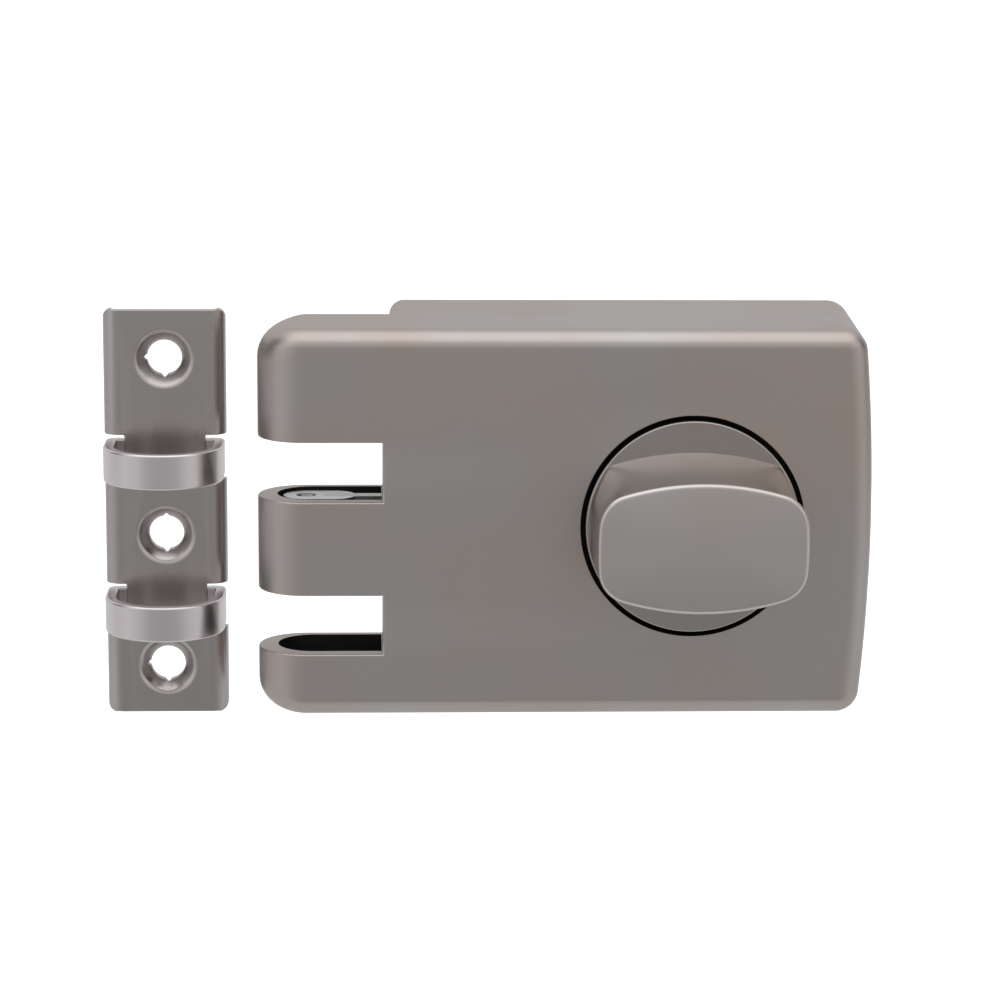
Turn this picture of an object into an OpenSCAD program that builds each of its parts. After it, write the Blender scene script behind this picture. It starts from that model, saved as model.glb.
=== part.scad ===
// Rim deadlock with drop bolts: case, thumb turn, bolt works and strike.
// Front of the lock faces -Y, the door's face is the plane Y = 0, +Z is up.
// The origin is on the turn's axis, at the door's face.

/* [Case] */
// Length of the case at its front face, finger tips to hinge-side end
case_length = 120.4; // [118:0.2:124]
// Height of the case at its front face
case_height = 76.5; // [76:0.1:78]
// Depth of the case from the door's face to its front
case_depth = 36; // [36:0.1:37]
// Distance from the closed end of the slots to the turn's axis
backset = 60.5; // [60:0.1:61]
// Outward slope of the walls from front to back, as a fraction of depth
wall_draft = 0.035; // [0.01:0.005:0.04]
// Thickness of the front wall
front_wall = 3; // [3:0.1:3.4]
// Thickness of the side walls
side_wall = 2.6; // [2.2:0.1:2.8]
// Radius of the edge round the front face
edge_r = 3.5; // [2:0.1:4]
// Radius of the hinge-side end, seen from the front
end_arc_r = 370; // [250:10:600]

/* [Fingers] */
// Front-to-back thickness of the fingers
finger_depth = 19; // [18.5:0.1:19.4]
// Height of each slot between the fingers
slot_height = 11.7; // [11.6:0.1:12]
// Height of the upper slot's middle above the turn's axis
upper_slot_z = 10.7; // [10.6:0.1:10.8]
// Distance between the middles of the two slots
slot_pitch = 30.35; // [30.2:0.05:30.5]
// Width of the cavity that the bolts run in, front to back
cavity_width = 14; // [13.6:0.1:14.2]

/* [Thumb turn] */
// Radius of the turn's round foot
disc_r = 21; // [19:0.1:21]
// How far the foot stands out from the case
disc_proud = 0.7; // [0.1:0.1:1]
// Radius of the hole that the foot sits in
disc_hole_r = 22.1; // [21.6:0.1:22.4]
// Length of the grip
grip_length = 40.1; // [36:0.1:41]
// Height of the grip at its front
grip_height = 25.2; // [20:0.1:26]
// How far the grip stands out from the case
grip_reach = 22.2; // [16:0.1:26]
// Radius of the spindle's journal
spindle_r = 5; // [4.6:0.1:5]

/* [Bolts] */
// Travel of the bolts between open and locked
bolt_throw = 14.5; // [14.2:0.1:14.6]
// Width of each bolt
bolt_width = 14.2; // [13.8:0.1:14.3]
// Thickness of each bolt, front to back
bolt_thickness = 9; // [8.6:0.1:9.2]
// Radius of the hardened pins in the bolts
saw_pin_r = 2; // [1.5:0.1:2.2]

/* [Strike] */
// Width of the strike plate
strike_width = 24.3; // [24.1:0.1:24.4]
// Height of the strike plate
strike_height = 82; // [80:0.5:83]
// Height of each loop's strap
loop_height = 7; // [6:0.1:7.4]
// Thickness of each loop's strap
loop_strap = 2.1; // [1.9:0.1:2.2]
// Distance that the loops stand out from the strike plate
loop_reach = 17; // [16.4:0.1:17.2]
// Radius of the strike's screw holes
strike_hole_r = 3.15; // [2.8:0.05:3.3]
// Gap between the strike as drawn and its place in the lock
strike_gap = 30.5; // [29.5:0.5:40]

/* [Hidden] */
$fn = 64;

// Case outline
right_x = 35.4;
left_x = right_x - case_length;
bottom_z = -38;
top_z = bottom_z + case_height;
front_y = -case_depth;
flare = wall_draft * case_depth;
step_x = -59;
finger_back_y = front_y + finger_depth;
finger_r = finger_depth / 2;
corner_r = 6;
end_wall = 2.6;
tip_wall = 3.8;
cavity_y0 = front_y + front_wall;
cavity_y1 = cavity_y0 + cavity_width;
lower_slot_z = upper_slot_z - slot_pitch;
slots = [upper_slot_z, lower_slot_z];

// Mechanism planes, from front to back
recess_y = front_y + 4.5;
recess_floor = 2.5;
floor_back_y = recess_y + recess_floor;
spindle_depth = 8;
groove_y = floor_back_y + 1;
groove_r = spindle_r - 0.8;
ring_t = 0.7;
carriage_t = 3;
carriage_y = -26.7;
cam_t = 4;
cam_y = -23.2;
cam_r = 14;
cam_flat = 12.6;
hub_r = 7;
hub_end_y = -10.5;
square_side = 7;
square_end_y = cam_y + 6.7;
driver_r = 4.8;
driver_y = square_end_y + 1;
cross_pin_r = 1;
cross_pin_y = cam_y + 5.2;
bush_wall = 2.5;
bush_flange = 4.5;
bush_flange_t = 1;
washer_t = 1;
washer_r = [9, 14];
washer_gap = 0.05;
cover_t = 2;
cover_y = -14;
cover_back_y = cover_y + cover_t;
plate_t = 2.5;

// Crank: a quarter turn carries the pin from above the axis to below it
crank_x = -bolt_throw / 2;
crank_z = bolt_throw / 2;
crank_pin_r = 2.5;
crank_slot = 2 * crank_pin_r + 0.8;
fit = 0.05;

// Bolt works
bolt_end_r = bolt_thickness / 2;
bolt_y0 = front_y + 6.2;
bolt_y1 = bolt_y0 + bolt_thickness;
bolt_x0 = -80;
bolt_x1 = bolt_x0 + bolt_width;
upper_bolt_z = [upper_slot_z + slot_height / 2 + 0.6, top_z - side_wall - 0.6];
lower_bolt_z = [lower_slot_z + slot_height / 2 + 0.6, upper_slot_z - slot_height / 2 - 0.5];
arm_height = 3.3;
rivet_r = 1.4;
rivet_x = bolt_x1 - bolt_end_r;
rivet_inset = 4;
tongue_x = rivet_x - rivet_r - 0.3;
saw_pin_x = bolt_x0 + bolt_end_r;
saw_pin_floor = 2;
guide_xz = [[-38, 6], [20, 6]];
guide_r = 2.5;
guide_head_r = 4.4;
guide_shank = 4.1;
guide_boss_r = 5;

// Cover posts and screws
post_xz = [[-40, 31.3], [27, 31.3], [-40, -29.5], [27, -29.5]];
post_r = 3.6;
cover_screw_r = 1.5;
spring_t = 0.6;
anchor_r = 3;
rest_r = 2;
shank_r = 1.5;
spring_anchor = [-23, -cam_flat - anchor_r - spring_t];
spring_rest = [12, -cam_flat - rest_r - spring_t];

// Mounting plate
wood_centre_x = -11.5;
wood_pitch_x = 70;
wood_pitch_z = 46;
wood_hole_r = 2.5;
cylinder_pitch = 26;
cylinder_hole_r = 2.75;
tailpiece_hole_r = 8;
tab_z = [20, -20];
tab_y = -9;
tab_half = 6;
case_screw_r = 2;
case_screw_head_r = 3.9;

// Strike
engaged_x = -73.25;
strike_x = engaged_x - strike_gap;
plate_front_y = finger_back_y + 0.5;
plate_skin = 1.6;
strike_depth = plate_skin + loop_strap;
strike_back_y = plate_front_y + strike_depth;
strike_bottom_z = -42.1;
strike_corner_r = 1.8;
rolled_edge = 1.8;
loop_z = [upper_slot_z - 0.5, lower_slot_z - 0.5];
loop_r = strike_width / 2 - 0.3;
notch_height = loop_height + 2;
tongue_width = 16.1;
strike_holes_z = [30.1, -5.5, -32.4];
strike_boss_r = 6.6;
countersink_r = 5.75;
countersink_depth = 2.3;

// Sketch in X and Z, extruded from y0 back to y1
module along_y(y0, y1) {
    translate([0, y1, 0]) rotate([90, 0, 0]) linear_extrude(y1 - y0) children();
}

// Sketch in Y and Z, extruded from x0 to x1
module along_x(x0, x1) {
    translate([x0, 0, 0]) rotate([90, 0, 90]) linear_extrude(x1 - x0) children();
}

// Round bar along Y
module bar(x, z, r, y0, y1) {
    translate([x, y1, z]) rotate([90, 0, 0]) cylinder(r = r, h = y1 - y0);
}

// Cone along Y, from radius ra at y0 to radius rb at y1
module cone(x, z, ra, rb, y0, y1) {
    translate([x, y1, z]) rotate([90, 0, 0]) cylinder(r1 = rb, r2 = ra, h = y1 - y0);
}

// Box between two corners
module box(a, b) {
    translate(a) cube(b - a);
}

// Points of an arc, angles in degrees
function arc(cx, cy, r, a0, a1, n = 8) =
    [for (i = [0:n]) [cx + r * cos(a0 + (a1 - a0) * i / n), cy + r * sin(a0 + (a1 - a0) * i / n)]];

// Case seen from above, shrunk by t on the sides and by f at the front
module case_plan(t, f, tip_x, tip_r, tip_y, back_y) {
    r = max(edge_r - f, 0.6);
    polygon(concat(
        arc(tip_x + tip_r, tip_y, tip_r, 90, 270, 16),
        arc(right_x - t - r, front_y + f + r, r, -90, 0, 6),
        [[right_x - t + flare, 0.001], [step_x + t - flare / 2, 0.001]],
        [[step_x + t, back_y]]
    ));
}

// Case seen from the end, shrunk by t on the sides and by f at the front
module case_side(t, f) {
    r = max(edge_r - f, 0.6);
    polygon(concat(
        arc(front_y + f + r, top_z - t - r, r, 90, 180, 6),
        arc(front_y + f + r, bottom_z + t + r, r, 180, 270, 6),
        [[0.001, bottom_z + t - flare], [0.001, top_z - t + flare]]
    ));
}

// Case seen from the front at its widest, with the arched end
module case_front(t) {
    half = case_height / 2 + flare - t;
    mid = bottom_z + case_height / 2;
    top = mid + half;
    low = mid - half;
    x0 = left_x + t;
    x1 = right_x + flare - t;
    rise = end_arc_r - sqrt(end_arc_r * end_arc_r - half * half);
    bow = asin((half - corner_r) / end_arc_r);
    polygon(concat(
        arc(x0 + corner_r, top - corner_r, corner_r, 180, 90, 6),
        arc(x1 - rise - corner_r, top - corner_r, corner_r, 90, bow, 6),
        arc(x1 - end_arc_r, mid, end_arc_r, bow, -bow, 10),
        arc(x1 - rise - corner_r, low + corner_r, corner_r, -bow, -90, 6),
        arc(x0 + corner_r, low + corner_r, corner_r, -90, -180, 6)
    ));
}

// Solid form of the case, or of its hollow when t and f are the walls
module case_form(t, f, tip_x, tip_r, tip_y, back_y) {
    intersection() {
        translate([0, 0, -60]) linear_extrude(120)
            case_plan(t, f, tip_x, tip_r, tip_y, back_y);
        along_x(left_x - 5, right_x + 5) case_side(t, f);
        along_y(front_y - 1, 0) case_front(t);
    }
}

module case_hollow() {
    case_form(side_wall, front_wall, left_x + tip_wall, cavity_width / 2,
        (cavity_y0 + cavity_y1) / 2, cavity_y1);
}

module case() {
    recess_wall = 2.2;
    color([0.52, 0.5, 0.47]) difference() {
        union() {
            difference() {
                case_form(0, 0, left_x, finger_r, front_y + finger_r, finger_back_y);
                case_hollow();
            }
            // closed end of each slot
            for (z = slots)
                box([-backset, cavity_y0 - 0.5, z - slot_height / 2],
                    [-backset + end_wall, cavity_y1 + 0.5, z + slot_height / 2]);
            // cup that the turn's foot sits in
            bar(0, 0, disc_hole_r + recess_wall, front_y + 1, floor_back_y);
            for (p = post_xz)
                bar(p[0], p[1], post_r, cavity_y0 - 0.5, cover_y);
            bar(guide_xz[0][0], guide_xz[0][1], guide_boss_r, cavity_y0 - 0.5, carriage_y - 0.1);
            bar(guide_xz[1][0], guide_xz[1][1], post_r, floor_back_y - 0.5, carriage_y - 0.1);
        }
        for (z = slots)
            box([left_x - 2, front_y - 1, z - slot_height / 2],
                [-backset, finger_back_y + 1, z + slot_height / 2]);
        bar(0, 0, disc_hole_r, front_y - 1, recess_y);
        bar(0, 0, spindle_r + bush_wall, recess_y - 1, floor_back_y + 1);
        for (p = post_xz)
            bar(p[0], p[1], cover_screw_r, cover_y - 10, cover_y + 1);
        for (p = guide_xz)
            bar(p[0], p[1], guide_r, carriage_y - guide_shank, carriage_y + 1);
        for (z = tab_z)
            translate([step_x - 2, tab_y, z]) rotate([0, 90, 0])
                cylinder(r = case_screw_r + 0.2, h = 6);
        for (z = tab_z)
            translate([step_x - 0.6, tab_y, z]) rotate([0, 90, 0])
                cylinder(r1 = case_screw_head_r + 0.7, r2 = case_screw_r + 0.2, h = 2.4);
    }
}

module mounting_plate() {
    x0 = step_x + side_wall + 0.2;
    x1 = right_x - side_wall - 1.6;
    z1 = top_z - side_wall - 0.6;
    z0 = bottom_z + side_wall + 0.6;
    sink_r = wood_hole_r + 1.5;
    color([0.62, 0.62, 0.6]) difference() {
        union() {
            box([x0, -plate_t, z0], [x1, 0, z1]);
            for (z = tab_z)
                box([x0, tab_y - 5, z - tab_half], [x0 + plate_t, -1, z + tab_half]);
        }
        bar(0, 0, tailpiece_hole_r, -plate_t - 1, 1);
        for (side = [-1, 1])
            bar(side * cylinder_pitch / 2, 0, cylinder_hole_r, -plate_t - 1, 1);
        for (sx = [-1, 1], sz = [-1, 1]) {
            x = wood_centre_x + sx * wood_pitch_x / 2;
            z = sz * wood_pitch_z / 2;
            bar(x, z, wood_hole_r, -plate_t - 1, 1);
            cone(x, z, sink_r, wood_hole_r, -plate_t - 0.01, -1);
        }
        for (z = tab_z)
            translate([x0 - 1, tab_y, z]) rotate([0, 90, 0])
                cylinder(r = case_screw_r, h = plate_t + 2);
    }
}

// Countersunk machine screws that hold the case to the mounting plate
module case_screws() {
    color([0.55, 0.54, 0.5]) for (z = tab_z)
        translate([step_x + 0.05, tab_y, z]) rotate([0, 90, 0]) difference() {
            union() {
                cylinder(r1 = case_screw_head_r, r2 = case_screw_r, h = 1.7);
                cylinder(r = case_screw_r, h = 7);
            }
            for (turn = [0, 90])
                rotate([0, 0, turn]) translate([-1.6, -0.35, -0.1]) cube([3.2, 0.7, 1]);
        }
}

module mechanism_cover() {
    color([0.66, 0.66, 0.62]) difference() {
        box([-46, cover_y, -34], [right_x - side_wall - 1.4, cover_back_y, 35]);
        bar(0, 0, hub_r + bush_wall, cover_y - 1, cover_back_y + 1);
        for (p = post_xz)
            bar(p[0], p[1], cover_screw_r, cover_y - 1, cover_back_y + 1);
        for (p = [spring_anchor, spring_rest])
            bar(p[0], p[1], shank_r, cover_y - 1, cover_back_y + 1);
    }
}

module cover_screws() {
    head_r = 2.8;
    head_t = 1.6;
    color([0.45, 0.45, 0.44]) for (p = post_xz) difference() {
        union() {
            bar(p[0], p[1], cover_screw_r, cover_y - 7, cover_back_y);
            bar(p[0], p[1], head_r, cover_back_y, cover_back_y + head_t);
        }
        for (turn = [0, 90])
            translate([p[0], cover_back_y + head_t, p[1]]) rotate([0, turn, 0])
                cube([3, head_t, 0.6], center = true);
    }
}

// Shouldered pins that the carriage slides on
module guide_pins() {
    back_y = carriage_y + carriage_t + 0.2;
    color([0.7, 0.7, 0.68]) for (p = guide_xz) {
        bar(p[0], p[1], guide_r, carriage_y - guide_shank, back_y);
        bar(p[0], p[1], guide_head_r, back_y, back_y + 1.5);
    }
}

module turn_bush() {
    flange_y = floor_back_y + bush_flange_t;
    color([0.72, 0.55, 0.28]) difference() {
        union() {
            bar(0, 0, spindle_r + bush_wall, recess_y, flange_y);
            bar(0, 0, spindle_r + bush_flange, floor_back_y, flange_y);
        }
        bar(0, 0, spindle_r + fit, recess_y - 1, flange_y + 1);
    }
}

module rear_bush() {
    color([0.72, 0.55, 0.28]) difference() {
        union() {
            bar(0, 0, hub_r + bush_wall, cover_y - bush_flange_t, cover_back_y);
            bar(0, 0, hub_r + bush_flange, cover_y - bush_flange_t, cover_y);
        }
        bar(0, 0, hub_r + fit, cover_y - 2, cover_back_y + 1);
    }
}

// Low-friction ring between the turn's foot and the floor of its cup
module turn_washer() {
    color([0.2, 0.2, 0.2]) difference() {
        bar(0, 0, washer_r[1], recess_y - washer_t, recess_y);
        bar(0, 0, washer_r[0], recess_y - washer_t - 1, recess_y + 1);
    }
}

// Leaf that clicks onto the cam's flats, wrapped round its anchor post
module detent_spring() {
    y0 = cam_y + 0.5;
    y1 = cam_y + 3.5;
    color([0.4, 0.42, 0.45]) difference() {
        union() {
            bar(spring_anchor[0], spring_anchor[1], anchor_r + spring_t, y0, y1);
            box([spring_anchor[0], y0, -cam_flat - spring_t],
                [spring_rest[0] + 3, y1, -cam_flat - 0.02]);
        }
        bar(spring_anchor[0], spring_anchor[1], anchor_r, y0 - 1, y1 + 1);
    }
}

module spring_posts() {
    color([0.6, 0.6, 0.58]) {
        bar(spring_anchor[0], spring_anchor[1], anchor_r, cam_y, cover_y);
        bar(spring_anchor[0], spring_anchor[1], shank_r, cover_y, cover_back_y);
        bar(spring_rest[0], spring_rest[1], rest_r, cam_y, cover_y);
        bar(spring_rest[0], spring_rest[1], shank_r, cover_y, cover_back_y);
    }
}

// Grip seen from the front: bowed long sides, bowed ends, round corners
module grip_outline(grow) {
    half_x = grip_length / 2 + grow;
    half_z = grip_height / 2 + grow;
    side_r = 53;
    end_r = 75;
    corner_reach = 21.6;
    intersection() {
        translate([0, half_z - side_r]) circle(r = side_r, $fn = 180);
        translate([0, side_r - half_z]) circle(r = side_r, $fn = 180);
        translate([half_x - end_r, 0]) circle(r = end_r, $fn = 180);
        translate([end_r - half_x, 0]) circle(r = end_r, $fn = 180);
        circle(r = corner_reach + grow, $fn = 120);
    }
}

module thumb_turn() {
    foot_y = recess_y - washer_t - washer_gap;
    root_grow = 2.2;
    color([0.56, 0.54, 0.51]) difference() {
        union() {
            bar(0, 0, disc_r, front_y - disc_proud, foot_y);
            along_y(front_y - 2.5, front_y) intersection() {
                circle(r = disc_r - 0.3);
                grip_outline(root_grow);
            }
            along_y(front_y - 6, front_y - 2) intersection() {
                circle(r = disc_r);
                grip_outline(root_grow / 2);
            }
            along_y(front_y - grip_reach, front_y - 5) grip_outline(0);
        }
        bar(0, 0, spindle_r, front_y - spindle_depth, foot_y + 1);
    }
}

// Hole or pin along X through the hub and the spindle
module cross_pin(length) {
    translate([-length / 2, cross_pin_y, 0]) rotate([0, 90, 0])
        cylinder(r = cross_pin_r, h = length);
}

module turn_spindle() {
    half = square_side / 2;
    color([0.62, 0.62, 0.6]) difference() {
        union() {
            bar(0, 0, spindle_r, front_y - spindle_depth, cam_y);
            box([-half, cam_y - 0.5, -half], [half, square_end_y, half]);
        }
        difference() {
            bar(0, 0, spindle_r + 1, groove_y, groove_y + ring_t + 0.2);
            bar(0, 0, groove_r, groove_y - 1, groove_y + 2);
        }
        cross_pin(16);
    }
}

module retaining_ring() {
    y0 = groove_y + 0.1;
    color([0.35, 0.35, 0.36]) difference() {
        bar(0, 0, spindle_r + 2.4, y0, y0 + ring_t);
        bar(0, 0, groove_r, y0 - 1, y0 + ring_t + 1);
        box([-1.6, y0 - 1, -12], [1.6, y0 + ring_t + 1, 0]);
    }
}

// Disc with two flats a quarter turn apart and a hollow hub behind it
module cam() {
    reach = cam_r + 1;
    half = square_side / 2;
    color([0.64, 0.6, 0.5]) difference() {
        union() {
            difference() {
                bar(0, 0, cam_r, cam_y, cam_y + cam_t);
                box([-reach, cam_y - 1, -reach], [reach, cam_y + cam_t + 1, -cam_flat]);
                box([-reach, cam_y - 1, -reach], [-cam_flat, cam_y + cam_t + 1, reach]);
            }
            bar(0, 0, hub_r, cam_y + cam_t - 0.5, hub_end_y);
        }
        box([-half, cam_y - 1, -half], [half, square_end_y, half]);
        bar(0, 0, driver_r, driver_y, hub_end_y + 1);
        bar(crank_x, crank_z, crank_pin_r, cam_y - 1, cam_y + cam_t + 1);
        cross_pin(16);
    }
}

module cam_pin() {
    color([0.4, 0.4, 0.4]) cross_pin(2 * hub_r - 0.6);
}

module crank_pin() {
    color([0.7, 0.7, 0.7]) bar(crank_x, crank_z, crank_pin_r, carriage_y - 0.2, cam_y + cam_t);
}

// Slotted socket that takes the flat tailpiece of a rim cylinder
module tailpiece_driver() {
    color([0.75, 0.62, 0.35]) difference() {
        bar(0, 0, driver_r, driver_y, hub_end_y);
        box([-4, driver_y + 1, -1.2], [4, hub_end_y + 1, 1.2]);
    }
}

// Flat slide in X and Z: spine, two arms into the fingers and the crank's web
module carriage_outline() {
    top = upper_bolt_z[1];
    low = lower_bolt_z[1] - arm_height;
    spine_x = [-55.6, -46];
    web_x = 26.5;
    web_top = 26.8;
    difference() {
        union() {
            polygon([
                [spine_x[0], top], [spine_x[0], low], [spine_x[1], low],
                [spine_x[1], -2], [-14, -9], [12, -9], [web_x, -2],
                [web_x, web_top], [spine_x[1], web_top], [spine_x[1], top]
            ]);
            for (z = [upper_bolt_z, lower_bolt_z]) {
                translate([tongue_x, z[1] - arm_height])
                    square([spine_x[0] - tongue_x + 1, arm_height]);
                translate([tongue_x, z[0]]) square([bolt_x1 - tongue_x, z[1] - z[0]]);
            }
        }
        // spindle window
        travel_slot([0, 0], spindle_r + 0.5);
        // crank slot, open into the window
        translate([-14, crank_z - crank_slot / 2]) square([14, crank_slot]);
        for (p = guide_xz)
            travel_slot(p, guide_r + 0.1);
    }
}

// Upright slot as long as the bolts' travel, starting at p
module travel_slot(p, r) {
    translate(p) circle(r = r);
    translate([p[0], p[1] + bolt_throw]) circle(r = r);
    translate([p[0] - r, p[1]]) square([2 * r, bolt_throw]);
}

function rivet_places(z) = [[rivet_x, z[0] + rivet_inset], [rivet_x, z[1] - rivet_inset]];

module bolt_carriage() {
    color([0.6, 0.6, 0.58]) difference() {
        along_y(carriage_y, carriage_y + carriage_t) carriage_outline();
        for (z = [upper_bolt_z, lower_bolt_z], p = rivet_places(z))
            bar(p[0], p[1], rivet_r, carriage_y - 1, carriage_y + carriage_t + 1);
    }
}

// Steel block with round ends and a slot for the carriage's tongue
module drop_bolt(z) {
    color([0.75, 0.75, 0.74]) difference() {
        union() {
            box([saw_pin_x, bolt_y0, z[0]], [rivet_x, bolt_y1, z[1]]);
            for (x = [saw_pin_x, rivet_x])
                translate([x, bolt_y0 + bolt_end_r, z[0]])
                    cylinder(r = bolt_end_r, h = z[1] - z[0]);
        }
        box([tongue_x, carriage_y, z[0] - 1], [bolt_x1 + 1, carriage_y + carriage_t, z[1] + 1]);
        translate([saw_pin_x, bolt_y0 + bolt_end_r, z[0] + saw_pin_floor])
            cylinder(r = saw_pin_r, h = z[1] - z[0]);
        for (p = rivet_places(z))
            bar(p[0], p[1], rivet_r, bolt_y0 - 1, bolt_y1 + 1);
    }
}

module upper_bolt() {
    drop_bolt(upper_bolt_z);
}

module lower_bolt() {
    drop_bolt(lower_bolt_z);
}

module hardened_pins() {
    color([0.35, 0.36, 0.38]) for (z = [upper_bolt_z, lower_bolt_z])
        translate([saw_pin_x, bolt_y0 + bolt_end_r, z[0] + saw_pin_floor])
            cylinder(r = saw_pin_r, h = z[1] - z[0] - saw_pin_floor - 0.4);
}

module bolt_rivets() {
    color([0.55, 0.55, 0.55]) for (z = [upper_bolt_z, lower_bolt_z], p = rivet_places(z))
        bar(p[0], p[1], rivet_r, bolt_y0 + 0.3, bolt_y1 - 0.3);
}

// Strike plate seen from the front: round corners and two pairs of side notches
module strike_outline() {
    half = strike_width / 2;
    notch = half - tongue_width / 2;
    r = strike_corner_r;
    difference() {
        translate([strike_x, strike_bottom_z]) union() {
            translate([-half, r]) square([strike_width, strike_height - 2 * r]);
            translate([r - half, 0]) square([strike_width - 2 * r, strike_height]);
            for (side = [-1, 1], z = [r, strike_height - r])
                translate([side * (half - r), z]) circle(r = r);
        }
        for (z = loop_z, side = [-1, 1])
            translate([strike_x + side * half, z]) square([2 * notch, notch_height], center = true);
    }
}

module strike_plate() {
    half = strike_width / 2;
    color([0.52, 0.5, 0.47]) difference() {
        union() {
            along_y(plate_front_y, plate_front_y + plate_skin) strike_outline();
            // turned-back long edges
            along_y(plate_front_y, strike_back_y) intersection() {
                strike_outline();
                for (side = [-1, 1])
                    translate([strike_x + side * (half - rolled_edge / 2), 0])
                        square([rolled_edge, 2 * strike_height], center = true);
            }
            for (z = strike_holes_z)
                bar(strike_x, z, strike_boss_r, plate_front_y + 0.5, strike_back_y);
        }
        for (z = strike_holes_z) {
            bar(strike_x, z, strike_hole_r, plate_front_y - 1, strike_back_y + 1);
            cone(strike_x, z, countersink_r, strike_hole_r,
                plate_front_y - 0.01, plate_front_y + countersink_depth);
        }
    }
}

// Bent strap: half-round front, two legs and two feet behind the plate
module strike_loop(z) {
    front = plate_front_y - loop_reach;
    foot_y = plate_front_y + plate_skin;
    inner_r = loop_r - loop_strap;
    foot_gap = 5;
    color([0.56, 0.54, 0.5])
        translate([strike_x, 0, z - loop_height / 2]) linear_extrude(loop_height) difference() {
            polygon(concat(
                arc(0, front + loop_r, loop_r, 0, -180, 24),
                [[-loop_r, strike_back_y], [loop_r, strike_back_y]]
            ));
            polygon(concat(
                arc(0, front + loop_r, inner_r, 0, -180, 24),
                [[-inner_r, foot_y], [inner_r, foot_y]]
            ));
            translate([-foot_gap / 2, foot_y - 1]) square([foot_gap, loop_strap + 2]);
        }
}

module upper_loop() {
    strike_loop(loop_z[0]);
}

module lower_loop() {
    strike_loop(loop_z[1]);
}

case();
mounting_plate();
case_screws();
mechanism_cover();
cover_screws();
guide_pins();
turn_bush();
rear_bush();
turn_washer();
detent_spring();
spring_posts();
thumb_turn();
turn_spindle();
retaining_ring();
cam();
cam_pin();
crank_pin();
tailpiece_driver();
bolt_carriage();
upper_bolt();
lower_bolt();
hardened_pins();
bolt_rivets();
strike_plate();
upper_loop();
lower_loop();
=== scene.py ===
"""Looks of a rim deadlock with drop bolts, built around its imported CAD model.

The case, the thumb turn, the strike plate and its loops are modelled here in
full; the bolts, plates, screws and the inner works keep their CAD meshes and
get materials and, where they show, bevels. Shapes are worked out in millimetres
and scaled when a mesh is made.
"""
import math

import bmesh
import bpy
from mathutils import Euler, Matrix, Vector


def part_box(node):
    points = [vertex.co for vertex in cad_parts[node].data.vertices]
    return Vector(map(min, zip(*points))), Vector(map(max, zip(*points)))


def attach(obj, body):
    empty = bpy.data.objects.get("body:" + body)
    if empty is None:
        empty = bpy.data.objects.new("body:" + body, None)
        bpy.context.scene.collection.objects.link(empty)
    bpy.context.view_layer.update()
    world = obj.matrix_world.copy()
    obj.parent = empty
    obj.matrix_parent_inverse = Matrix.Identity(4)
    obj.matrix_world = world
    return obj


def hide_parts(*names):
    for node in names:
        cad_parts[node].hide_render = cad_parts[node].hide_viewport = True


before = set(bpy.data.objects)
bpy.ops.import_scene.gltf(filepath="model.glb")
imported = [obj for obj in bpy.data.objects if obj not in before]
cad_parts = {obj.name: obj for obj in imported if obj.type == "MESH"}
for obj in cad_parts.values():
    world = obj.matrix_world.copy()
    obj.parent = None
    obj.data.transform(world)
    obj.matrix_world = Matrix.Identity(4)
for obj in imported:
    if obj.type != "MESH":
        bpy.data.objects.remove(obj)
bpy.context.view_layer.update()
MM = 0.001


def node_box(node):
    """Lowest and highest corners of a CAD node, in millimetres."""
    low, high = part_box(node)
    return Vector(low) / MM, Vector(high) / MM


# ---------------------------------------------------------------- dimensions

CASE_LOW, CASE_HIGH = node_box("case")
TURN_LOW, TURN_HIGH = node_box("thumb_turn")
PLATE_LOW, PLATE_HIGH = node_box("strike_plate")
LOOP_BOXES = {name: node_box(name) for name in ("upper_loop", "lower_loop")}

FRONT_Y = CASE_LOW.y
LEFT_X = CASE_LOW.x
DRAFT = 0.035
FLARE = -DRAFT * FRONT_Y
TOP_Z = CASE_HIGH.z - FLARE
BOTTOM_Z = CASE_LOW.z + FLARE
RIGHT_X = CASE_HIGH.x - FLARE
MID_Z = (TOP_Z + BOTTOM_Z) / 2
HALF_Z = (TOP_Z - BOTTOM_Z) / 2
END_ARC_R = 370
EDGE_R = 3.5
END_EDGE_R = 4.2
TIP_EDGE_R = 6.5
STEP_EDGE_R = 3
FINGER_DEPTH = 19
FINGER_R = FINGER_DEPTH / 2
FINGER_BACK_Y = FRONT_Y + FINGER_DEPTH
STEP_X = -59
FRONT_WALL = 3
SIDE_WALL = 2.6
TIP_WALL = 3.8
CAVITY_WIDTH = 14
BACKSET = 60.5
SLOT_HEIGHT = 11.7
UPPER_SLOT_Z = 10.7
SLOT_PITCH = 30.35
SLOTS = (UPPER_SLOT_Z, UPPER_SLOT_Z - SLOT_PITCH)
HOLE_R = 21.95
HOLE_BEVEL = 0.12
FINGER_BEVEL = 0.35
RECESS_Y = FRONT_Y + 4.5
FLOOR_Y = RECESS_Y + 2.5
CUP_WALL = 2.2
SPINDLE_BORE_R = 7.5
# Left of this no edge belongs to a cavity's opening
OPENINGS_X = -82
OPENING_MARGIN = 0.3
# Hollow of the main body: corner radius, draw-in of its right side, and the depth it is cut to
HOLLOW_CORNER_R = 3.0
HOLLOW_DRAW_IN = 1.2
HOLLOW_BACK_Y = 2.0
# Posts for the cover's screws: places as (x, z), radius and end
COVER_POSTS = ((-40, 31.3), (27, 31.3), (-40, -29.5), (27, -29.5))
POST_R = 3.6
POST_END_Y = -14
# Holes for the case screws, from the door-edge side
CASE_SCREW_Y = -9
CASE_SCREW_HEIGHTS = (20, -20)
CASE_SCREW_R = 2.2
# Case sections: steps round an edge, rows between, and how near a row comes to a slot's edge
EDGE_STEPS = 9
CASE_ROWS = 14
ROW_CLEARANCE = 1
LEAST_ROW_GAP = 0.04


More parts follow.
